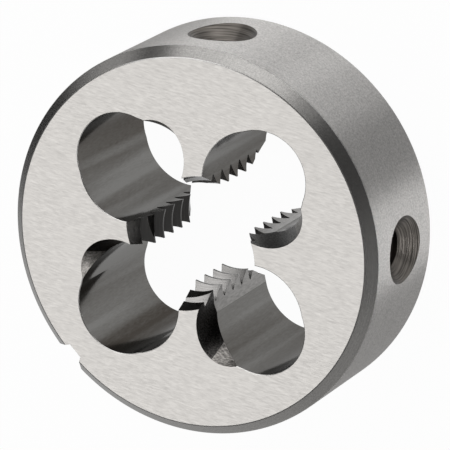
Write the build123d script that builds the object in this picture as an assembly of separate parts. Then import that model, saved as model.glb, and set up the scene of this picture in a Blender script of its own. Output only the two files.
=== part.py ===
"""Round threading die for M10 x 1.5, right hand: one hardened and ground disc.

Millimetres, +Z up. The die lies on its rear face, with its entry face on top. The origin is the
centre of the rear face, and the thread's axis is Z. The four lands stand on +X, +Y, -X and -Y, with
a chip hole on each diagonal between them. The die turns counter-clockwise seen from above as it cuts
from the entry face, so the counter-clockwise side of each land is its cutting side.
"""
from build123d import *
from math import asin, cos, degrees, hypot, radians, sin, sqrt, tan
import os

# Blank
body_diameter = 30.0
body_thickness = 11.0
rim_chamfer = 0.8

# Thread that the die cuts, and the profile of the die's own teeth
thread_diameter = 10.0
thread_pitch = 1.5
# A metric external thread is this many pitches deep, so the teeth reach in as far
thread_depth_in_pitches = 0.61343
flank_angle = 30.0
tooth_crest_flat = thread_pitch / 8
tooth_root_flat = thread_pitch / 12
# Height of a tooth's crest over the entry face, in the middle of the land on +X
thread_phase = 0.06
# Each groove goes this many times as far round as its land is wide, so that it ends in the chip holes
groove_overrun = 1.6

# Lands, and the chip holes between them
land_count = 4
land_width = 2.36
chip_hole_diameter = 8.2
# Each chip hole is opened towards the rim by a tighter arc that meets the main one at its waist
waist_angle = 55.0
rim_web = 3.25

# Entry tapers, two pitches long at both ends
taper_angle = 24.5
taper_length = 2 * thread_pitch
# The front taper is ground off centre on each land, so that it falls away behind the cutting edge
taper_relief = 1.1

# Spiral point: a slanted round gash in the cutting side of each land, open to the entry face
gash_diameter = 5.5
gash_setback = 1.88
gash_land_margin = 0.5
gash_lean_in = 30.8
gash_lean_aside = 10.0
# How far the grinding pin goes in below the entry face, along its own axis
gash_reach = 3.2

# Rake: the same grinding pin, held upright, dresses the cutting side of each row of teeth
rake_setback = 0.77
rake_land_margin = 0.885

# Dimples for the screws of a die stock, each a cone with a short pilot bore
dimple_diameter = 5.55
dimple_cone_angle = 90.0
dimple_pilot_diameter = 3.0
dimple_pilot_depth = 3.0
drill_point_angle = 118.0
dimples_from_notch = (-135.0, -60.0, 60.0, 135.0)

# Notch for the centre screw of the stock
notch_angle = 225.0
notch_floor_width = 1.25
notch_depth = 1.2
notch_flank_angle = 30.0
notch_corner_radius = 0.5

# Worked out from the sizes above
body_radius = body_diameter / 2
crest_radius = thread_diameter / 2 - thread_depth_in_pitches * thread_pitch
tooth_depth = (thread_pitch - tooth_crest_flat - tooth_root_flat) / 2 / tan(radians(flank_angle))
root_radius = crest_radius + tooth_depth
land_spacing = 360 / land_count
land_angle = 2 * degrees(asin(land_width / 2 / crest_radius))
overcut = thread_pitch
through = body_thickness + 2 * overcut


def blank():
    """Disc with its two rim chamfers, bored at the crests of the teeth."""
    disc = extrude(Circle(body_radius), body_thickness)
    disc = chamfer(disc.edges().filter_by(GeomType.CIRCLE), rim_chamfer)
    bore = Pos(0, 0, -overcut) * extrude(Circle(crest_radius), through)
    return disc - bore


def chip_hole_outline():
    """One chip hole on the +X axis: the main arc, and the tighter arc towards the rim."""
    radius = chip_hole_diameter / 2
    land_corner = radians(land_spacing - land_angle) / 2
    corner_side = crest_radius * sin(land_corner)
    centre = crest_radius * cos(land_corner) + sqrt(radius**2 - corner_side**2)
    waist_x = centre + radius * cos(radians(waist_angle))
    waist_y = radius * sin(radians(waist_angle))
    outer = ThreePointArc((waist_x, -waist_y), (body_radius - rim_web, 0), (waist_x, waist_y))
    inner = ThreePointArc((waist_x, waist_y), (centre - radius, 0), (waist_x, -waist_y))
    return make_face(outer + inner)


def chip_holes():
    """A chip hole between each two lands, right through the disc."""
    hole = Pos(0, 0, -overcut) * extrude(chip_hole_outline(), through)
    return [Rot(0, 0, (i + 0.5) * land_spacing) * hole for i in range(land_count)]


def groove_segment():
    """Thread groove across one land on +X: its profile carried along a piece of helix."""
    span = groove_overrun * land_angle
    rise = thread_pitch * span / 360
    inside = crest_radius - tooth_crest_flat
    half_floor = tooth_root_flat / 2
    half_mouth = half_floor + (root_radius - inside) * tan(radians(flank_angle))
    profile = Polyline(
        (inside, -half_mouth),
        (root_radius, -half_floor),
        (root_radius, half_floor),
        (inside, half_mouth),
        close=True,
    )
    path = Helix(thread_pitch, rise, inside)
    groove = sweep(Plane.XZ * make_face(profile), path=path, is_frenet=True)
    return Pos(0, 0, -rise / 2) * Rot(0, 0, -span / 2) * groove


def thread_grooves():
    """The grooves of all lands, a pitch apart, each land's higher by its share of a turn."""
    segment = groove_segment()
    grooves = []
    for i in range(land_count):
        turn = i * land_spacing
        level = body_thickness + thread_phase + thread_pitch * (i / land_count - 0.5)
        while level > -thread_pitch:
            grooves.append(Pos(0, 0, level) * Rot(0, 0, turn) * segment)
            level -= thread_pitch
    return grooves


def taper(mouth_radius):
    """Cone that opens to mouth_radius at the origin and narrows downwards, cut short at the bore."""
    depth = taper_length + thread_pitch
    slope = tan(radians(taper_angle))
    cone = Cone(mouth_radius - depth * slope, mouth_radius + overcut * slope, depth + overcut)
    return Pos(0, 0, (overcut - depth) / 2) * cone


def rear_taper():
    """Entry taper of the rear face, concentric with the thread."""
    mouth_radius = crest_radius + taper_length * tan(radians(taper_angle))
    return Rot(180, 0, 0) * taper(mouth_radius)


def front_tapers():
    """Entry taper of each land at the entry face, ground about an axis behind the thread's own."""
    heel_radius = crest_radius + taper_length * tan(radians(taper_angle))
    heel_angle = asin(land_width / 2 / heel_radius)
    mouth_radius = hypot(heel_radius * cos(heel_angle), taper_relief - heel_radius * sin(heel_angle))
    sector = Pos(root_radius, 0, 0) * Box(2 * root_radius, 2 * crest_radius, 2 * body_thickness)
    cone = Pos(0, -taper_relief, 0) * taper(mouth_radius) & sector
    return [Pos(0, 0, body_thickness) * Rot(0, 0, i * land_spacing) * cone for i in range(land_count)]


def spiral_point_gashes():
    """Slanted round cut in the cutting side of each land, which leans in towards the thread's axis."""
    radius = gash_diameter / 2
    lean = Vector(-tan(radians(gash_lean_in)), tan(radians(gash_lean_aside)), -1).normalized()
    half_width = radius / cos(radians(gash_lean_aside))
    pierce = Vector(crest_radius + gash_setback, gash_land_margin + half_width, body_thickness)
    start = pierce - lean * 2 * overcut
    cutter = extrude(Plane(start, z_dir=lean) * Circle(radius), 2 * overcut + gash_reach)
    return [Rot(0, 0, i * land_spacing) * cutter for i in range(land_count)]


def rake_cuts():
    """Shallow upright round cut that dresses the faces of the teeth on the cutting side of each land."""
    radius = gash_diameter / 2
    centre = Pos(crest_radius + rake_setback, rake_land_margin + radius, -overcut)
    cutter = centre * extrude(Circle(radius), through)
    return [Rot(0, 0, i * land_spacing) * cutter for i in range(land_count)]


def dimples():
    """Blind screw dimples in the rim, halfway up, at their angles from the notch."""
    mouth = dimple_diameter / 2
    pilot = dimple_pilot_diameter / 2
    cone_slope = tan(radians(dimple_cone_angle / 2))
    point_depth = pilot / tan(radians(drill_point_angle / 2))
    cone_end = body_radius - (mouth - pilot) / cone_slope
    pilot_end = body_radius - dimple_pilot_depth
    outside = body_radius + overcut
    half_section = Polyline(
        (pilot_end - point_depth, 0),
        (pilot_end, pilot),
        (cone_end, pilot),
        (outside, mouth + overcut * cone_slope),
        (outside, 0),
        close=True,
    )
    dimple = revolve(make_face(half_section), Axis.X)
    half_up = Pos(0, 0, body_thickness / 2)
    return [half_up * Rot(0, 0, notch_angle + turn) * dimple for turn in dimples_from_notch]


def notch():
    """V notch with a flat floor, along the rim from face to face, its two outer corners rounded."""
    floor = body_radius - notch_depth
    half_floor = notch_floor_width / 2
    slope = tan(radians(notch_flank_angle))
    half_mouth = half_floor + notch_depth * slope
    outside = body_radius + overcut
    outline = Polyline(
        (floor, -half_floor),
        (body_radius, -half_mouth),
        (outside, -half_mouth - overcut),
        (outside, half_mouth + overcut),
        (body_radius, half_mouth),
        (floor, half_floor),
        close=True,
    )
    section = make_face(outline)
    rim_corners = section.vertices().group_by(Axis.X)[1]
    section = fillet(rim_corners, notch_corner_radius)
    return Rot(0, 0, notch_angle) * Pos(0, 0, -overcut) * extrude(section, through)


def threading_die():
    """The finished die."""
    die = blank()
    for groove in thread_grooves():
        die -= groove
    die -= rear_taper()
    die -= front_tapers()
    die -= chip_holes()
    die -= rake_cuts()
    die -= spiral_point_gashes()
    die -= dimples()
    die -= notch()
    return die


os.makedirs("parts", exist_ok=True)
export_step(threading_die(), "parts/threading_die.step")
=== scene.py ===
"""Looks of a round threading die for M10 x 1.5: the detailed disc, its finishes, the stage and the camera.

The die lies on its rear face with its entry face up. Lengths are in metres, in the frame of the solid model:
the origin is the centre of the rear face, Z is the thread's axis, and the lands stand on +X, +Y, -X and -Y.
"""
import math

import bmesh
import bpy
import numpy as np
from bpy.props import FloatProperty, FloatVectorProperty, IntProperty, PointerProperty
from bpy.types import Operator, Panel, PropertyGroup
from mathutils import Euler, Matrix, Vector


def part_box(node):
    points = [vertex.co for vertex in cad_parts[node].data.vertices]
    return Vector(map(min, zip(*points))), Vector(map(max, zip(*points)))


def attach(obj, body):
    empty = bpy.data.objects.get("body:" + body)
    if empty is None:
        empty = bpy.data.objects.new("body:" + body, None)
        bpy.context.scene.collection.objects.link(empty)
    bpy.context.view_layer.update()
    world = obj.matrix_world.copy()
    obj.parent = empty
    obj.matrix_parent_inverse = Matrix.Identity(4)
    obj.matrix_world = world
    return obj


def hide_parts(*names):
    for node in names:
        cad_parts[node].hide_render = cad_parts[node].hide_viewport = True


bl_info = {
    "name": "Round threading die",
    "version": (1, 0, 0),
    "blender": (4, 5, 0),
    "location": "3D View > Sidebar > Die",
    "description": "Builds a ground steel threading die with its finishes, stage and camera",
    "category": "Object",
}

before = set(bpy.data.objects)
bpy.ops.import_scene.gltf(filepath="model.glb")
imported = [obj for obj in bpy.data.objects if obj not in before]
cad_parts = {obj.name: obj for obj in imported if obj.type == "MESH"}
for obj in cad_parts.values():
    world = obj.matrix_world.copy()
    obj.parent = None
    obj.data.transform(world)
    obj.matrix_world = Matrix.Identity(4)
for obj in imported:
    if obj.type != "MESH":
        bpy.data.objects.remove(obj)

MM = 0.001
MICRON = 0.000001
TURN = 2 * math.pi
NODE = "threading_die"
BOX_LOW, BOX_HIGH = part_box(NODE)
RIM_RADIUS = (BOX_HIGH.x - BOX_LOW.x) / 2
# The disc is cut at this many times its size, where the cuts are exact, and then scaled back
WORKSHOP = 1000
# Points of the finished disc that are nearer than this are one, and edges sharper than this angle are creases
SAME_POINT = 0.0000001
CREASE = math.radians(8)
# Depth of a metric thread, in pitches
THREAD_DEPTH = 0.61343
# Soft lamps: name, azimuth, elevation and distance of the middle, width, height, and radiance, where 1 is
# white. The key lights the faces, and the low ones are what rim and chamfer mirror.
LAMPS = (
    ("key", 214.6, 59.3, 0.50, 0.36, 0.40, 1.26),
    ("key_back", 125.0, 42.9, 0.50, 0.30, 0.25, 2.5),
    ("low_back", 96.0, 17.0, 0.50, 0.50, 0.22, 2.2),
    ("strip_back", 100.0, 4.0, 0.50, 0.40, 0.05, 0.5),
    ("strip_side", 60.0, 6.0, 0.50, 0.30, 0.08, 4.7),
    ("panel_side", 78.0, 27.0, 0.50, 0.40, 0.12, 0.9),
    ("strip_right", -9.0, 6.0, 0.50, 0.33, 0.09, 9.8),
    ("low_left", 150.0, 3.0, 0.50, 0.24, 0.08, 1.45),
    ("panel_right", -60.0, 12.0, 0.50, 0.58, 0.18, 0.64),
)
# Finish of each kind of surface, in the order of the disc's material slots
FINISHES = (
    "face", "rim", "chamfer", "chip_hole", "thread", "gash", "gash_flank",
    "crest", "edge", "rake", "taper", "dimple", "notch",
)
# Dark card on the floor, in radii of the disc: its near and far side in X, its two ends in Y, and its height
CARD = (-2.45, -10.7, -4, 33, 0.027)
# Greys of the card and of the floor's paper, and the floor's half width in diameters of the disc
CARD_GREY = (0.04, 0.04, 0.04, 1)
PAPER_GREY = (0.9, 0.9, 0.9, 1)
FLOOR_REACH = 40
# Points round the disc, the two arcs of a chip hole, a grinding pin, a dimple and the rear taper, along the
# sector of a front taper and a corner of the notch, and along one turn of the helix
DISC_STEPS = 360
HOLE_STEPS = (96, 64)
PIN_STEPS = 128
DIMPLE_STEPS = 128
TAPER_STEPS = 256
SECTOR_STEPS = 53
CORNER_STEPS = 12
HELIX_STEPS = 144
# Degrees from a land's middle over which its front taper is ground
SECTOR = (-20, 45)
# Degrees round a grinding pin between which the gash's wall is left rough
ROUGH_SIDE = (280, 386)
# Degrees from the notch to each screw dimple
DIMPLES_FROM_NOTCH = (-135, -60, 60, 135)
SLOT = {name: index for index, name in enumerate(FINISHES)}


def length(name, millimetres, description):
    """Length property with its default in millimetres."""
    default = millimetres * MM
    return FloatProperty(name=name, description=description, default=default, unit="LENGTH", precision=5)


def angle(name, degrees, description):
    """Angle property with its default in degrees."""
    default = math.radians(degrees)
    return FloatProperty(name=name, description=description, default=default, subtype="ANGLE")


def colour(name, value, description):
    """Linear colour property."""
    return FloatVectorProperty(name=name, description=description, default=value, subtype="COLOR",
                               min=0, max=1)


class DieShape(PropertyGroup):
    """Sizes of the disc and of everything that is cut into it."""

    body_diameter: length("Body diameter", (BOX_HIGH.x - BOX_LOW.x) / MM, "Outer diameter of the disc")
    body_thickness: length("Body thickness", (BOX_HIGH.z - BOX_LOW.z) / MM, "Height of the disc")
    rim_chamfer: length("Rim chamfer", 0.8, "Chamfer between the rim and each face")
    edge_break: length("Edge break", 0.05, "Width by which the sharp outer edges are broken")
    thread_diameter: length("Thread diameter", 10.0, "Nominal diameter of the thread that the die cuts")
    thread_pitch: length("Thread pitch", 1.5, "Distance from one tooth to the next along the axis")
    thread_phase: length("Thread phase", 0.06, "Height of the first crest over the entry face on the +X land")
    crest_flat: length("Crest flat", 1.5 / 8, "Width of a tooth's flat crest")
    root_flat: length("Root flat", 1.5 / 12, "Width of a groove's flat floor")
    flank_angle: angle("Flank angle", 30, "Slope of a tooth's flank from square to the axis")
    land_count: IntProperty(name="Lands", description="Number of toothed lands", default=4, min=3, max=6)
    land_width: length("Land width", 2.36, "Width of a land at the crests of its teeth")
    chip_hole_diameter: length("Chip hole diameter", 8.2, "Diameter of a chip hole's main arc")
    waist_angle: angle("Waist angle", 55, "Where a chip hole's main arc meets its outer arc")
    rim_web: length("Rim web", 3.25, "Metal left between a chip hole and the rim")
    taper_angle: angle("Taper angle", 24.5, "Half angle of the entry tapers")
    taper_length: length("Taper length", 3.0, "Length of the entry tapers, two pitches")
    taper_relief: length("Taper relief", 1.1, "How far off centre the front taper of each land is ground")
    grinding_pin: length("Grinding pin", 5.5, "Diameter of the pin that grinds gash and rake")
    gash_setback: length("Gash setback", 1.88, "From the crests to the gash's axis at the entry face")
    gash_margin: length("Gash margin", 0.5, "From the middle of the land to the gash at the entry face")
    gash_lean_in: angle("Gash lean in", 30.8, "Slope of the gash towards the axis")
    gash_lean_aside: angle("Gash lean aside", 10, "Slope of the gash away from its land")
    gash_reach: length("Gash reach", 3.2, "How far the pin goes in along its own axis")
    rake_setback: length("Rake setback", 0.77, "From the crests to the axis of the upright pin")
    rake_margin: length("Rake margin", 0.885, "From the middle of the land to the ground rake")
    dimple_diameter: length("Dimple diameter", 5.55, "Mouth of a screw dimple")
    dimple_cone: angle("Dimple cone", 90, "Full angle of a dimple's cone")
    dimple_pilot: length("Dimple pilot", 3.0, "Diameter of a dimple's pilot bore")
    dimple_depth: length("Dimple depth", 3.0, "Depth of a dimple's pilot bore")
    drill_point: angle("Drill point", 118, "Full angle at the bottom of the pilot bore")
    notch_place: angle("Notch place", 225, "Where on the rim the notch is")
    notch_floor: length("Notch floor", 1.25, "Width of the notch's floor")
    notch_depth: length("Notch depth", 1.2, "Depth of the notch")
    notch_flank: angle("Notch flank", 30, "Slope of the notch's sides")
    notch_corner: length("Notch corner", 0.5, "Rounding of the notch's outer corners")


class DieFinish(PropertyGroup):
    """Colours of the steel where it is ground, turned or left from hardening, and the sizes of its marks."""

    ground: colour("Ground steel", (0.62, 0.60, 0.575), "Surface-ground faces")
    rim: colour("Rim steel", (0.46, 0.45, 0.44), "Cylindrically ground rim")
    broken_edge: colour("Edge steel", (0.45, 0.44, 0.43), "Broken edges of rim, faces and chip holes")
    chamfer: colour("Chamfer steel", (0.215, 0.21, 0.203), "Turned chamfers")
    hole: colour("Chip hole steel", (0.127, 0.117, 0.105), "Walls of the chip holes, dark from hardening")
    thread: colour("Thread steel", (0.24, 0.234, 0.228), "Flanks and crests of the teeth")
    gash: colour("Gash steel", (0.05, 0.048, 0.046), "Spiral-point gashes")
    gash_flank: colour("Gash flank steel", (0.25, 0.238, 0.225), "Rough outer side of the gashes")
    # The same dark colour, through the crest finish, is also put on the chip holes' rear edge breaks as
    # painted shade
    crest: colour("Crest steel", (0.05, 0.048, 0.046), "Flat crests of the teeth")
    rake: colour("Rake steel", (0.235, 0.229, 0.222), "Ground cutting sides of the lands")
    taper: colour("Taper steel", (0.08, 0.078, 0.075), "Ground entry tapers")
    dimple: colour("Dimple steel", (0.095, 0.087, 0.079), "Screw dimples")
    scratch_direction: angle("Scratch direction", -9, "Direction of the grinding marks on the faces")
    scratch_length: length("Scratch length", 0.6, "Length of the grinding marks on the faces")
    scratch_width: length("Scratch width", 0.075, "Width of the grinding marks on the faces")
    feed_width: length("Feed width", 0.06, "Width of the marks that turning and drilling leave")
    fine_grain: length("Fine grain", 0.07, "Size of the finest grain in the steel's surface")
    # The walls of chip holes and notch carry soft bands of random tone, shifted so that the light ones fall
    # where soft highlights would be: partly painted sheen. Their pale lines are painted reflections.
    wall_sheen_band: length("Wall band", 3.4, "Width of the soft bands that run up the chip holes' walls")
    wall_reflection_line: length("Wall line", 0.9, "Width of the pale lines that run up the chip holes' walls")
    edge_radius: length("Edge radius", 0.03, "Rounding of the sharp edges, seen as a highlight")


class DieStudio(PropertyGroup):
    """Lamps, backdrop and the camera's place."""

    backdrop: FloatProperty(name="Backdrop", description="Share of the floor's colour that needs no light",
                            default=0.97, min=0, max=1, subtype="FACTOR")
    room: FloatProperty(name="Room light", description="Strength of the even light all round",
                        default=0.13, min=0)
    camera_turn: angle("Camera turn", 25.89, "How far the camera stands to the right of the die's axis")
    camera_tilt: angle("Camera tilt", 16.68, "How far the camera stands above the die's axis")
    camera_distance: FloatProperty(name="Camera distance", description="Distance in radii of the disc",
                                   default=21.395, min=2)
    camera_right: FloatProperty(name="Camera right", description="Camera's shift to its right, in radii",
                                default=0.17294)
    camera_up: FloatProperty(name="Camera up", description="Camera's shift upwards, in radii",
                             default=0.09354)
    camera_lens: FloatProperty(name="Camera lens", description="Focal length in millimetres",
                               default=345.8, unit="CAMERA")


def circle(radius, count):
    """Points (r cos t, r sin t) at count even steps of t round a full turn."""
    t = np.linspace(0, TURN, count, endpoint=False)
    return radius * np.stack([np.cos(t), np.sin(t)], axis=-1)


def spun(points, turn):
    """Points turned about the thread's axis: x' = x cos a - y sin a, y' = x sin a + y cos a."""
    c, s = math.cos(turn), math.sin(turn)
    return points @ np.array([[c, s, 0], [-s, c, 0], [0, 0, 1]])


def stacked(outline, heights):
    """Rings that repeat a flat outline at each height: (x, y) of the outline, z of the height."""
    rings = np.empty((len(heights), len(outline), 3))
    rings[..., :2] = outline
    rings[..., 2] = np.reshape(heights, (-1, 1))
    return rings


def rod(start, end, radius, count):
    """Two rings round the line from start to end: centre + r (u cos t + v sin t), u and v square to it."""
    axis = (end - start) / np.linalg.norm(end - start)
    u = np.cross(axis, (0, 1, 0))
    u /= np.linalg.norm(u)
    v = np.cross(axis, u)
    around = circle(radius, count) @ np.stack([u, v])
    return np.stack([start + around, end + around])


def skin_faces(levels, around, closed):
    """Quads between each ring and the next, where a closed skin's last ring meets its first."""
    i, j = np.meshgrid(np.arange(levels if closed else levels - 1), np.arange(around), indexing="ij")
    after_i, after_j = (i + 1) % levels, (j + 1) % around
    corners = (i * around + j, i * around + after_j, after_i * around + after_j, after_i * around + j)
    return np.stack(corners, axis=-1).reshape(-1, 4)


def solid(name, skins, finish, closed=False):
    """Mesh object of several skins. Each is an array (levels, around, 3) of rings, capped at its ends unless
    it is closed. finish is a slot number, or one for each point of a ring, or a column of one a level."""
    points, faces, slots = [], [], []
    start = 0
    for rings in skins:
        levels, around = rings.shape[:2]
        quads = skin_faces(levels, around, closed) + start
        faces += quads.tolist()
        slot = np.broadcast_to(finish, (levels, around))
        slots.append(slot.ravel()[:len(quads)])
        if not closed:
            first = np.arange(around) + start
            faces += [first[::-1].tolist(), (first + (levels - 1) * around).tolist()]
            slots.append(slot[[0, -1], 0])
        points.append(rings.reshape(-1, 3))
        start += levels * around
    mesh = bpy.data.meshes.new(name)
    mesh.from_pydata(np.concatenate(points) * WORKSHOP, [], faces)
    mesh.polygons.foreach_set("material_index", np.concatenate(slots).astype(np.int32))
    for kind in FINISHES:
        mesh.materials.append(bpy.data.materials[kind])
    work = bmesh.new()
    work.from_mesh(mesh)
    bmesh.ops.recalc_face_normals(work, faces=work.faces)
    work.to_mesh(mesh)
    work.free()
    piece = bpy.data.objects.new(name, mesh)
    bpy.context.scene.collection.objects.link(piece)
    return piece


class Die:
    """Sizes worked out from the die's properties, and the skins of its blank and of each cutter."""

    def __init__(self, shape):
        self.shape = shape
        self.radius = shape.body_diameter / 2
        self.height = shape.body_thickness
        self.crest = shape.thread_diameter / 2 - THREAD_DEPTH * shape.thread_pitch
        groove_mouth = shape.thread_pitch - shape.crest_flat - shape.root_flat
        self.root = self.crest + groove_mouth / 2 / math.tan(shape.flank_angle)
        self.beyond = shape.thread_pitch
        self.places = [TURN * i / shape.land_count for i in range(shape.land_count)]
        self.between = [place + TURN / shape.land_count / 2 for place in self.places]

    def each_land(self, rings):
        """The same skin at every land."""
        return [spun(rings, place) for place in self.places]

    def blank(self):
        """Profile of disc and bore, turned once round: (r cos t, r sin t, z) for each (r, z) of the profile.
        Its outer corners are broken by a short slant."""
        high, c = self.height, self.shape.rim_chamfer
        inner, outer = self.crest, self.radius
        corners = np.array([(inner, 0), (outer - c, 0), (outer, c),
                            (outer, high - c), (outer - c, high), (inner, high)])
        sides = corners[1:] - corners[:-1]
        sides = sides / np.linalg.norm(sides, axis=1)[:, None] * self.shape.edge_break
        profile = np.empty((10, 2))
        profile[0], profile[9] = corners[0], corners[5]
        profile[1:9:2] = corners[1:5] - sides[:4]
        profile[2:9:2] = corners[1:5] + sides[1:5]
        turn = circle(1, DISC_STEPS)
        rings = np.empty((len(turn), len(profile), 3))
        rings[..., :2] = turn[:, None, :] * profile[None, :, :1]
        rings[..., 2] = profile[:, 1]
        names = ("face", "edge", "chamfer", "rim", "rim", "rim", "chamfer", "edge", "face", "crest")
        return rings, [SLOT[name] for name in names]

    def chip_hole(self):
        """Two circles that meet at the waist, each grown by d at its level, so that the faces' edges are
        broken: centre + (r + d) (cos t, sin t), with t from one meeting point to the other on each circle."""
        shape = self.shape
        radius = shape.chip_hole_diameter / 2
        corner = TURN / shape.land_count / 2 - math.asin(shape.land_width / 2 / self.crest)
        main = self.crest * math.cos(corner) + math.sqrt(radius**2 - (self.crest * math.sin(corner)) ** 2)
        waist_x = main + radius * math.cos(shape.waist_angle)
        waist_y = radius * math.sin(shape.waist_angle)
        reach = self.radius - shape.rim_web
        outer = (reach**2 - waist_x**2 - waist_y**2) / 2 / (reach - waist_x)
        small = reach - outer
        edge = shape.edge_break
        grown = np.array([self.beyond, edge, 0, 0, edge, self.beyond])[:, None]
        heights = np.array([edge - self.beyond, 0, edge, self.height - edge, self.height,
                            self.height - edge + self.beyond])
        meet = (main + outer) / 2 + ((radius + grown) ** 2 - (small + grown) ** 2) / 2 / (outer - main)
        half_main = np.arccos((meet - main) / (radius + grown))
        half_outer = np.arccos((meet - outer) / (small + grown))
        on_main, on_outer = HOLE_STEPS
        t_main = half_main + (TURN - 2 * half_main) * np.linspace(0, 1, on_main, endpoint=False)
        t_outer = half_outer * np.linspace(-1, 1, on_outer, endpoint=False)
        rings = np.zeros((len(heights), on_main + on_outer, 3))
        rings[:, :on_main, 0] = main + (radius + grown) * np.cos(t_main)
        rings[:, :on_main, 1] = (radius + grown) * np.sin(t_main)
        rings[:, on_main:, 0] = outer + (small + grown) * np.cos(t_outer)
        rings[:, on_main:, 1] = (small + grown) * np.sin(t_outer)
        rings[..., 2] = heights[:, None]
        return [spun(rings, place) for place in self.between]

    def hole_slots(self):
        """Finish of each level of a chip hole: the dark crest finish at the rear edge break as painted shade,
        and the brighter edge finish at the broken front edge.
        """
        # The rear edge break, where the wall meets the floor, gets the crest's dark colour as painted shade
        names = ("crest", "crest", "chip_hole", "edge", "edge", "edge")
        return np.array([[SLOT[name]] for name in names])

    def rake(self):
        """Upright rods that graze the cutting side of each land."""
        radius = self.shape.grinding_pin / 2
        centre = np.array([self.crest + self.shape.rake_setback, self.shape.rake_margin + radius, 0])
        low, high = np.array([0, 0, -self.beyond]), np.array([0, 0, self.height + self.beyond])
        return self.each_land(rod(centre + low, centre + high, radius, PIN_STEPS))

    def gash(self):
        """Rods that lean in from the entry face beside each land."""
        shape = self.shape
        radius = shape.grinding_pin / 2
        lean = np.array([-math.tan(shape.gash_lean_in), math.tan(shape.gash_lean_aside), -1])
        lean /= np.linalg.norm(lean)
        half_width = radius / math.cos(shape.gash_lean_aside)
        pierce = np.array([self.crest + shape.gash_setback, shape.gash_margin + half_width, self.height])
        start, end = pierce - lean * 2 * self.beyond, pierce + lean * shape.gash_reach
        return self.each_land(rod(start, end, radius, PIN_STEPS))

    def gash_slots(self):
        """Finish round a gash: its outer side, seen from the land, is left rough."""
        start, end = ROUGH_SIDE
        past_start = (np.linspace(0, 360, PIN_STEPS, endpoint=False) - start) % 360
        return np.where(past_start < end - start, SLOT["gash_flank"], SLOT["gash"])

    def rear_taper(self):
        """Cone concentric with the thread that opens towards the rear face."""
        slope = math.tan(self.shape.taper_angle)
        mouth = self.crest + self.shape.taper_length * slope
        deep = self.shape.taper_length + self.beyond
        heights = np.array([-self.beyond, deep])
        return [np.stack([stacked(circle(mouth - z * slope, TAPER_STEPS), [z])[0] for z in heights])]

    def front_taper(self):
        """Sector of a cone at each land: (R(z) cos t, R(z) sin t, z) about an axis beside the thread's."""
        shape = self.shape
        slope = math.tan(shape.taper_angle)
        heel = self.crest + shape.taper_length * slope
        heel_side = math.asin(shape.land_width / 2 / heel)
        mouth = math.hypot(heel * math.cos(heel_side), shape.taper_relief - heel * math.sin(heel_side))
        deep = shape.taper_length + self.beyond
        inside = self.crest / 2
        profile = np.array([(inside, -deep), (mouth - deep * slope, -deep),
                            (mouth + self.beyond * slope, self.beyond), (inside, self.beyond)])
        t = np.radians(np.linspace(*SECTOR, SECTOR_STEPS))
        rings = np.empty((len(t), 4, 3))
        rings[..., 0] = np.cos(t)[:, None] * profile[:, 0]
        rings[..., 1] = np.sin(t)[:, None] * profile[:, 0] - shape.taper_relief
        rings[..., 2] = self.height + profile[:, 1]
        return self.each_land(rings)

    def groove(self):
        """The thread's groove: a four-cornered section carried up the helix, z = pitch t / 2 pi + offset."""
        shape = self.shape
        pitch = shape.thread_pitch
        middle = self.height + shape.thread_phase - pitch / 2
        first, last = (-pitch / 2 - middle) / pitch, (self.height + pitch / 2 - middle) / pitch
        t = TURN * np.arange(first, last, 1 / HELIX_STEPS)
        inside = self.crest - shape.crest_flat / 2
        half_floor = shape.root_flat / 2
        half_mouth = half_floor + (self.root - inside) * math.tan(shape.flank_angle)
        profile = np.array([(inside, -half_mouth), (self.root, -half_floor),
                            (self.root, half_floor), (inside, half_mouth)])
        rings = np.empty((len(t), 4, 3))
        rings[..., 0] = np.cos(t)[:, None] * profile[:, 0]
        rings[..., 1] = np.sin(t)[:, None] * profile[:, 0]
        rings[..., 2] = (middle + pitch * t / TURN)[:, None] + profile[:, 1]
        return [rings]

    def dimples(self):
        """Half section of cone, pilot bore and drill point, turned about a line out through the rim:
        (x, r cos t, r sin t) for each (x, r) of the section."""
        shape = self.shape
        mouth, pilot = shape.dimple_diameter / 2, shape.dimple_pilot / 2
        slope = math.tan(shape.dimple_cone / 2)
        pilot_end = self.radius - shape.dimple_depth
        # The drill point ends in a ring as thin as a needle, because a skin is made of rings
        needle = pilot / 100
        section = np.array([
            (pilot_end - (pilot - needle) / math.tan(shape.drill_point / 2), needle),
            (pilot_end, pilot),
            (self.radius - (mouth - pilot) / slope, pilot),
            (self.radius + self.beyond, mouth + self.beyond * slope),
        ])
        turn = circle(1, DIMPLE_STEPS)
        rings = np.empty((len(section), len(turn), 3))
        rings[..., 0] = section[:, :1]
        rings[..., 1:] = section[:, 1, None, None] * turn
        rings[..., 2] += self.height / 2
        places = [shape.notch_place + math.radians(degrees) for degrees in DIMPLES_FROM_NOTCH]
        return [spun(rings, place) for place in places]

    def notch(self):
        """Outline of the notch, its two outer corners rounded, carried from face to face."""
        shape = self.shape
        half_floor = shape.notch_floor / 2
        half_mouth = half_floor + shape.notch_depth * math.tan(shape.notch_flank)
        floor, outside = self.radius - shape.notch_depth, self.radius + self.beyond
        side = np.array([(floor, half_floor), (self.radius, half_mouth),
                         (outside, half_mouth + self.beyond)])
        arc = rounded_corner(*side, shape.notch_corner, CORNER_STEPS)
        half = np.concatenate([side[:1], arc, side[2:]])
        outline = np.concatenate([half, half[::-1] * (1, -1)])
        rings = stacked(outline, [-self.beyond, self.height + self.beyond])
        return [spun(rings, shape.notch_place)]


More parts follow.
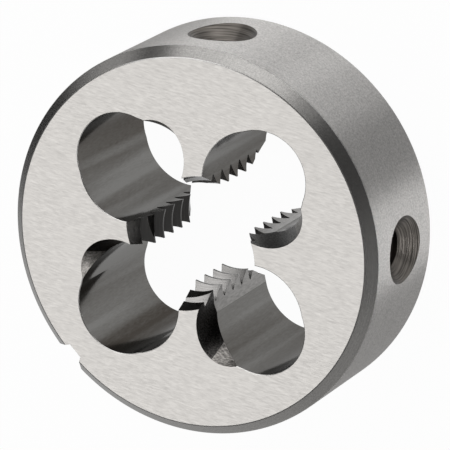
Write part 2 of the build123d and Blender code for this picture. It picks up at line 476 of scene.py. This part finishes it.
def rounded_corner(before, corner, after, radius, steps):
    """Arc tangent to both sides of a corner. Its centre is on the bisector, radius / sin(half angle) away."""
    a = (before - corner) / np.linalg.norm(before - corner)
    b = (after - corner) / np.linalg.norm(after - corner)
    half = math.acos(a @ b) / 2
    centre = corner + (a + b) / np.linalg.norm(a + b) * radius / math.sin(half)
    first = corner + a * radius / math.tan(half) - centre
    last = corner + b * radius / math.tan(half) - centre
    start = math.atan2(first[1], first[0])
    sweep = (math.atan2(last[1], last[0]) - start + math.pi) % TURN - math.pi
    t = start + sweep * np.linspace(0, 1, steps)
    return centre + radius * np.stack([np.cos(t), np.sin(t)], axis=-1)


def machined(blank, cutters):
    """The blank less each cutter in turn, as a plain mesh at its real size with creases at its edges."""
    for cutter in cutters:
        cut = blank.modifiers.new(cutter.name, "BOOLEAN")
        cut.operation = "DIFFERENCE"
        cut.solver = "EXACT"
        cut.object = cutter
    bpy.context.view_layer.update()
    evaluated = blank.evaluated_get(bpy.context.evaluated_depsgraph_get())
    mesh = bpy.data.meshes.new_from_object(evaluated)
    work = bmesh.new()
    work.from_mesh(mesh)
    bmesh.ops.remove_doubles(work, verts=work.verts, dist=SAME_POINT * WORKSHOP)
    work.to_mesh(mesh)
    work.free()
    blank.modifiers.clear()
    for cutter in cutters:
        bpy.data.objects.remove(cutter)
    mesh.transform(Matrix.Scale(1 / WORKSHOP, 4))
    mesh.name = blank.name
    blank.data = mesh
    mesh.shade_smooth()
    mesh.set_sharp_from_angle(angle=CREASE)
    return blank


class Value:
    """Output socket of a node. Arithmetic on it adds Math nodes."""

    def __init__(self, tree, socket):
        self.tree = tree
        self.socket = socket

    def _math(self, operation, *values):
        return self.tree.node("ShaderNodeMath", {"operation": operation}, dict(enumerate(values)))

    def __add__(self, other):
        return self._math("ADD", self, other)

    def __radd__(self, other):
        return self._math("ADD", other, self)

    def __sub__(self, other):
        return self._math("SUBTRACT", self, other)

    def __rsub__(self, other):
        return self._math("SUBTRACT", other, self)

    def __mul__(self, other):
        return self._math("MULTIPLY", self, other)

    def __rmul__(self, other):
        return self._math("MULTIPLY", other, self)

    def __truediv__(self, other):
        return self._math("DIVIDE", self, other)

    def __pow__(self, other):
        return self._math("POWER", self, other)

    def or_more(self, other):
        """The larger of the two."""
        return self._math("MAXIMUM", self, other)


class Tree:
    """Node tree in the making, with one method for every kind of node."""

    def __init__(self, owner):
        owner.use_nodes = True
        self.tree = owner.node_tree
        self.tree.nodes.clear()

    def node(self, kind, settings=None, inputs=None, output=0):
        """New node of a kind: settings first, then its sockets, each a plain value or a Value to link."""
        node = self.tree.nodes.new(kind)
        for name, value in (settings or {}).items():
            setattr(node, name, value)
        for name, value in (inputs or {}).items():
            if isinstance(value, Value):
                self.tree.links.new(value.socket, node.inputs[name])
            else:
                node.inputs[name].default_value = value
        return Value(self, node.outputs[output] if len(node.outputs) else None)


class Steel(Tree):
    """Bare steel whose colour, roughness and normal follow patterns on the object's own coordinates."""

    def __init__(self, name, edge):
        material = bpy.data.materials.new(name)
        super().__init__(material)
        self.edge = edge
        self.place = self.node("ShaderNodeTexCoord", None, None, "Object")

    def grain(self, size, turn=0.0, detail=3.0, shift=0.0, waves=0.0):
        """Noise from about 0.3 to 0.7 whose spots have the given size along X, Y and Z, turned about Z."""
        where = self.node("ShaderNodeMapping", {"vector_type": "TEXTURE"}, {
            "Vector": self.place, "Location": (shift, shift, shift), "Rotation": (0, 0, turn), "Scale": size,
        })
        return self.node("ShaderNodeTexNoise", None, {
            "Vector": where, "Scale": 1.0, "Detail": detail, "Distortion": waves,
        })

    def vector(self, operation, first, second=None, output="Vector"):
        """Vector Math on one or two vectors."""
        inputs = {0: first} if second is None else {0: first, 1: second}
        return self.node("ShaderNodeVectorMath", {"operation": operation}, inputs, output)

    def scaled(self, vector, factor):
        """A vector times a plain number."""
        return self.node("ShaderNodeVectorMath", {"operation": "SCALE"}, {0: vector, "Scale": factor})

    def rings(self, across, along, slow, detail):
        """Noise that follows two numbers, and changes a little over a slow vector."""
        flat = self.node("ShaderNodeCombineXYZ", None, {"X": across, "Y": along})
        where = self.vector("ADD", flat, slow)
        return self.node("ShaderNodeTexNoise", None, {"Vector": where, "Scale": 1.0, "Detail": detail})

    def around(self, along, out, up, detail):
        """Noise that runs round the thread's axis. It changes over the given lengths: slowly along the turn,
        and with the distance out from the axis and the height."""
        flat = self.vector("MULTIPLY", self.place, (1, 1, 0))
        distance = self.vector("LENGTH", flat, output="Value")
        height = self.node("ShaderNodeSeparateXYZ", None, {0: self.place}, "Z")
        slow = self.scaled(self.vector("NORMALIZE", flat), RIM_RADIUS / along)
        return self.rings(distance / out, height / up, slow, detail)

    def drilled(self, shape, size, wander):
        """Noise in rings of a size about the nearest dimple's own line, which changes over the wander's
        length as it runs round. The nearest line is the one along which the point lies furthest out."""
        middle = self.vector("SUBTRACT", self.place, (0, 0, shape.body_thickness / 2))
        along = None
        for degrees in DIMPLES_FROM_NOTCH:
            place = shape.notch_place + math.radians(degrees)
            line = (math.cos(place), math.sin(place), 0)
            out = self.vector("DOT_PRODUCT", middle, line, "Value")
            along = out if along is None else along.or_more(out)
        far = self.vector("LENGTH", middle, output="Value")
        beside = (far * far - along * along) ** 0.5
        return self.rings(beside / size, along / size, self.scaled(middle, 1 / wander), detail=2.0)

    def spread(self, noise, low, high, start=0.3, end=0.7):
        """A noise's range from start to end stretched to run from low to high."""
        return self.node("ShaderNodeMapRange", None, {
            "Value": noise, "From Min": start, "From Max": end, "To Min": low, "To Max": high,
        })

    def tint(self, factor, dark, light):
        """Colour between two, by a factor."""
        return self.node("ShaderNodeMix", {"data_type": "RGBA"}, {
            0: factor, 6: (*dark, 1), 7: (*light, 1),
        }, 2)

    def finish(self, base, relief, depth, roughness, height, turned=0.0, grazing=1.0, warmth=0.0):
        """Shader: base colour darker by depth where the relief is low and lighter by it where it is high, and
        a bump whose height is in micrometres. warmth reddens the dark parts and cools the light ones. A
        turned surface spreads its gloss across its marks, which run round the thread's axis. grazing is the
        share of its gloss at a glancing look."""
        value = self.spread(relief, 0.0, 1.0)
        warm = (1 + warmth, 1, 1 - warmth)
        dark = [channel * (1 - depth) * shift for channel, shift in zip(base, warm)]
        light = [channel * (1 + depth) / shift for channel, shift in zip(base, warm)]
        rounded = self.node("ShaderNodeBevel", {"samples": 4}, {"Radius": self.edge})
        bumped = self.node("ShaderNodeBump", None, {
            "Strength": 1.0, "Distance": height * MICRON, "Height": value, "Normal": rounded,
        })
        quarter_turn = 0.25
        shader = self.node("ShaderNodeBsdfPrincipled", None, {
            "Base Color": self.tint(value, dark, light), "Metallic": 1.0, "Roughness": roughness,
            "Anisotropic": turned, "Anisotropic Rotation": quarter_turn,
            "Specular Tint": (grazing, grazing, grazing, 1), "Normal": bumped,
        })
        self.node("ShaderNodeOutputMaterial", None, {"Surface": shader})


def make_finishes(finish, shape):
    """One material for each kind of surface."""
    long, thin, direction = finish.scratch_length, finish.scratch_width, finish.scratch_direction
    feed, fine, edge = finish.feed_width, finish.fine_grain, finish.edge_radius
    face = Steel("face", edge)
    marks = face.grain((long, thin, long), direction, waves=0.5)
    face.finish(finish.ground, marks, depth=0.07, roughness=face.spread(marks, 0.42, 0.34), height=2)
    broken = Steel("edge", edge)
    broken.finish(finish.broken_edge, broken.grain((fine, fine, fine)), depth=0.1, roughness=0.3, height=2)
    rim = Steel("rim", edge)
    grain = rim.grain((2 * fine, 2 * fine, 2 * fine))
    marks = rim.around(along=0.004, out=1, up=feed / 2, detail=2.0) * 0.3 + grain * 0.7
    rim.finish(finish.rim, marks, depth=0.32, roughness=0.5, height=2, turned=1.0, grazing=0.5)
    chamfer = Steel("chamfer", edge)
    grain = chamfer.grain((2 * fine, 2 * fine, 2 * fine))
    marks = chamfer.around(along=0.02, out=feed, up=feed, detail=2.0) * 0.4 + grain * 0.6
    chamfer.finish(finish.chamfer, marks, depth=0.2, roughness=0.25, height=2, grazing=0.82)
    # Walls of chip holes and notch: soft bands of random tone, shifted so that the light bands stand in for
    # soft highlights, partly painted sheen, and pale lines up the walls as painted reflections
    band, line = finish.wall_sheen_band, finish.wall_reflection_line
    band_length, line_length = 0.05, 0.02
    for name, base in (("chip_hole", finish.hole), ("notch", finish.chamfer)):
        wall = Steel(name, edge)
        tone_and_sheen_bands = wall.grain((band, band, band_length), detail=0.3, shift=0.0085)
        lines = wall.grain((line, line, line_length), detail=0.5, shift=0.02)
        # Pale streaks up the walls: painted reflections
        painted_streaks = wall.spread(lines, low=0.0, high=0.18, start=0.5, end=0.8)
        grain = wall.grain((fine, fine, 8 * fine), detail=4.0)
        marks = tone_and_sheen_bands * 0.75 + grain * 0.25 + painted_streaks
        wall.finish(base, marks, depth=0.6, roughness=wall.spread(marks, 0.18, 0.12), height=2,
                    grazing=0.6, warmth=0.07)
    gash = Steel("gash", edge)
    marks = gash.around(along=0.004, out=2 * feed, up=2 * feed, detail=4.0)
    gash.finish(finish.gash, marks, depth=0.8, roughness=0.3, height=10)
    flank = Steel("gash_flank", edge)
    marks = flank.grain((4 * fine, 2 * fine, 2 * fine), detail=4.0)
    flank.finish(finish.gash_flank, marks, depth=0.6, roughness=0.4, height=10)
    for name, base in (("thread", finish.thread), ("crest", finish.crest), ("taper", finish.taper)):
        tooth = Steel(name, edge)
        marks = tooth.around(along=0.003, out=feed, up=feed, detail=2.0)
        tooth.finish(base, marks, depth=0.15, roughness=0.3, height=2)
    rake = Steel("rake", edge)
    marks = rake.grain((2 * fine, 2 * fine, 8 * fine), detail=4.0)
    rake.finish(finish.rake, marks, depth=0.22, roughness=0.35, height=4)
    dimple = Steel("dimple", edge)
    marks = dimple.drilled(shape, size=2 * feed, wander=0.0025)
    dimple.finish(finish.dimple, marks, depth=0.6, roughness=0.38, height=12)


class DIE_OT_finishes(Operator):
    """Make the materials of the die."""

    bl_idname = "die.finishes"
    bl_label = "Finishes"

    def execute(self, context):
        make_finishes(context.scene.die_finish, context.scene.die_shape)
        return {"FINISHED"}


class DIE_OT_disc(Operator):
    """Turn the disc, cut its chip holes, teeth, gashes, tapers, dimples and notch."""

    bl_idname = "die.disc"
    bl_label = "Disc"

    def execute(self, context):
        die = Die(context.scene.die_shape)
        rings, slots = die.blank()
        blank = solid("threading_die_finished", [rings], slots, closed=True)
        cutters = [
            solid("grooves", die.groove(), SLOT["thread"]),
            solid("rear_taper", die.rear_taper(), SLOT["taper"]),
            solid("front_tapers", die.front_taper(), SLOT["taper"]),
            solid("chip_holes", die.chip_hole(), die.hole_slots()),
            solid("rakes", die.rake(), SLOT["rake"]),
            solid("gashes", die.gash(), die.gash_slots()),
            solid("dimples", die.dimples(), SLOT["dimple"]),
            solid("notch", die.notch(), SLOT["notch"]),
        ]
        piece = machined(blank, cutters)
        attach(piece, "root")
        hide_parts(NODE)
        return {"FINISHED"}


class DIE_OT_stage(Operator):
    """Lay the white floor, set the lamps and the room's light, and place the camera."""

    bl_idname = "die.stage"
    bl_label = "Stage"

    def execute(self, context):
        studio = context.scene.die_studio
        lay_floor(studio)
        stand_card()
        light_room(studio)
        place_camera(studio, context.scene.die_shape)
        context.scene.view_settings.view_transform = "Standard"
        return {"FINISHED"}


def seen_directly(tree):
    """1 for rays that show the backdrop as it is: the camera's, and mirrored or transmitted ones."""
    light_path = tree.node("ShaderNodeLightPath")
    sockets = light_path.socket.node.outputs
    shown = Value(tree, sockets["Is Camera Ray"])
    for name in ("Is Glossy Ray", "Is Transmission Ray"):
        shown = shown.or_more(Value(tree, sockets[name]))
    return shown


def stage_sheet(name, points):
    """Flat four-cornered sheet of the stage, with its material and the material's node tree."""
    mesh = bpy.data.meshes.new(name)
    mesh.from_pydata(points, [], [(0, 1, 2, 3)])
    sheet = bpy.data.objects.new(name, mesh)
    bpy.context.scene.collection.objects.link(sheet)
    material = bpy.data.materials.new(name)
    mesh.materials.append(material)
    return sheet, Tree(material)


def lay_floor(studio):
    """White floor under the die: it keeps a share of the die's shadow."""
    half = FLOOR_REACH * studio.id_data.die_shape.body_diameter
    _, tree = stage_sheet("floor", [(-half, -half, 0), (half, -half, 0), (half, half, 0), (-half, half, 0)])
    paper = tree.node("ShaderNodeBsdfDiffuse", None, {"Color": PAPER_GREY})
    white = tree.node("ShaderNodeEmission", None, {"Color": (1, 1, 1, 1), "Strength": 1.0})
    share = seen_directly(tree) * studio.backdrop
    mixed = tree.node("ShaderNodeMixShader", None, {0: share, 1: paper, 2: white})
    tree.node("ShaderNodeOutputMaterial", None, {"Surface": mixed})


def stand_card():
    """Dark card low beside the die, which only the steel sees, as a dark edge on its left."""
    near, far, low, high, lift = (RIM_RADIUS * share for share in CARD)
    points = [(far, low, lift), (near, low, lift), (near, high, lift), (far, high, lift)]
    card, tree = stage_sheet("card", points)
    dark = tree.node("ShaderNodeBsdfDiffuse", None, {"Color": CARD_GREY})
    tree.node("ShaderNodeOutputMaterial", None, {"Surface": dark})
    card.visible_camera = False
    card.visible_shadow = False
    card.visible_diffuse = False


def light_room(studio):
    """Even light all round, shown as plain white to the camera, and the soft lamps."""
    world = bpy.data.worlds.new("room")
    bpy.context.scene.world = world
    tree = Tree(world)
    camera_ray = tree.node("ShaderNodeLightPath", None, None, "Is Camera Ray")
    even = tree.node("ShaderNodeBackground", None, {"Color": (1, 1, 1, 1), "Strength": studio.room})
    white = tree.node("ShaderNodeBackground", None, {"Color": (1, 1, 1, 1), "Strength": 1.0})
    mixed = tree.node("ShaderNodeMixShader", None, {0: camera_ray, 1: even, 2: white})
    tree.node("ShaderNodeOutputWorld", None, {"Surface": mixed})
    for lamp in LAMPS:
        add_lamp(*lamp)


def add_lamp(name, azimuth, elevation, distance, width, height, glow):
    """Soft rectangular lamp that faces the die. Its power is pi times its area times its glow."""
    lamp = bpy.data.lights.new(name, "AREA")
    lamp.shape = "RECTANGLE"
    lamp.size = width
    lamp.size_y = height
    lamp.energy = math.pi * width * height * glow
    holder = bpy.data.objects.new(name, lamp)
    bpy.context.scene.collection.objects.link(holder)
    toward = Vector((1, 0, 0))
    toward.rotate(Euler((0, -math.radians(elevation), math.radians(azimuth))))
    holder.location = toward * distance
    holder.rotation_mode = "QUATERNION"
    holder.rotation_quaternion = (-toward).to_track_quat("-Z", "Y")


def place_camera(studio, shape):
    """Camera before the entry face, turned about Y and then tilted about X."""
    data = bpy.data.cameras.new("camera")
    data.lens = studio.camera_lens
    camera = bpy.data.objects.new("camera", data)
    bpy.context.scene.collection.objects.link(camera)
    turn = Matrix.Rotation(studio.camera_turn, 4, "Y")
    tilt = Matrix.Rotation(-studio.camera_tilt, 4, "X")
    radius = shape.body_diameter / 2
    offset = Vector((studio.camera_right, studio.camera_up, studio.camera_distance)) * radius
    face_centre = Matrix.Translation((0, 0, shape.body_thickness))
    camera.matrix_world = face_centre @ turn @ tilt @ Matrix.Translation(offset)
    data.clip_start = radius
    data.clip_end = 100 * radius
    bpy.context.scene.camera = camera


class DIE_PT_panel(Panel):
    """Sizes, finishes and the steps that build the die."""

    bl_idname = "DIE_PT_panel"
    bl_label = "Round threading die"
    bl_space_type = "VIEW_3D"
    bl_region_type = "UI"
    bl_category = "Die"

    def draw(self, context):
        column = self.layout.column()
        for operator in OPERATORS:
            column.operator(operator.bl_idname)
        for group in (context.scene.die_shape, context.scene.die_finish, context.scene.die_studio):
            for name in group.bl_rna.properties.keys()[2:]:
                column.prop(group, name)


OPERATORS = (DIE_OT_finishes, DIE_OT_disc, DIE_OT_stage)
GROUPS = {"die_shape": DieShape, "die_finish": DieFinish, "die_studio": DieStudio}


def register():
    """Make the classes and the scene's settings known to Blender."""
    for part in (*GROUPS.values(), *OPERATORS, DIE_PT_panel):
        bpy.utils.register_class(part)
    for name, group in GROUPS.items():
        setattr(bpy.types.Scene, name, PointerProperty(type=group))


def unregister():
    """Take them away again."""
    for name in GROUPS:
        delattr(bpy.types.Scene, name)
    for part in (DIE_PT_panel, *reversed(OPERATORS), *GROUPS.values()):
        bpy.utils.unregister_class(part)


def corners(box):
    """A box's two corners as plain lists."""
    return [list(corner) for corner in box]


def main():
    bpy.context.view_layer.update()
    register()
    bpy.ops.die.finishes()
    bpy.ops.die.disc()
    bpy.ops.die.stage()
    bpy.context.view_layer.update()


if __name__ == "__main__":
    main()
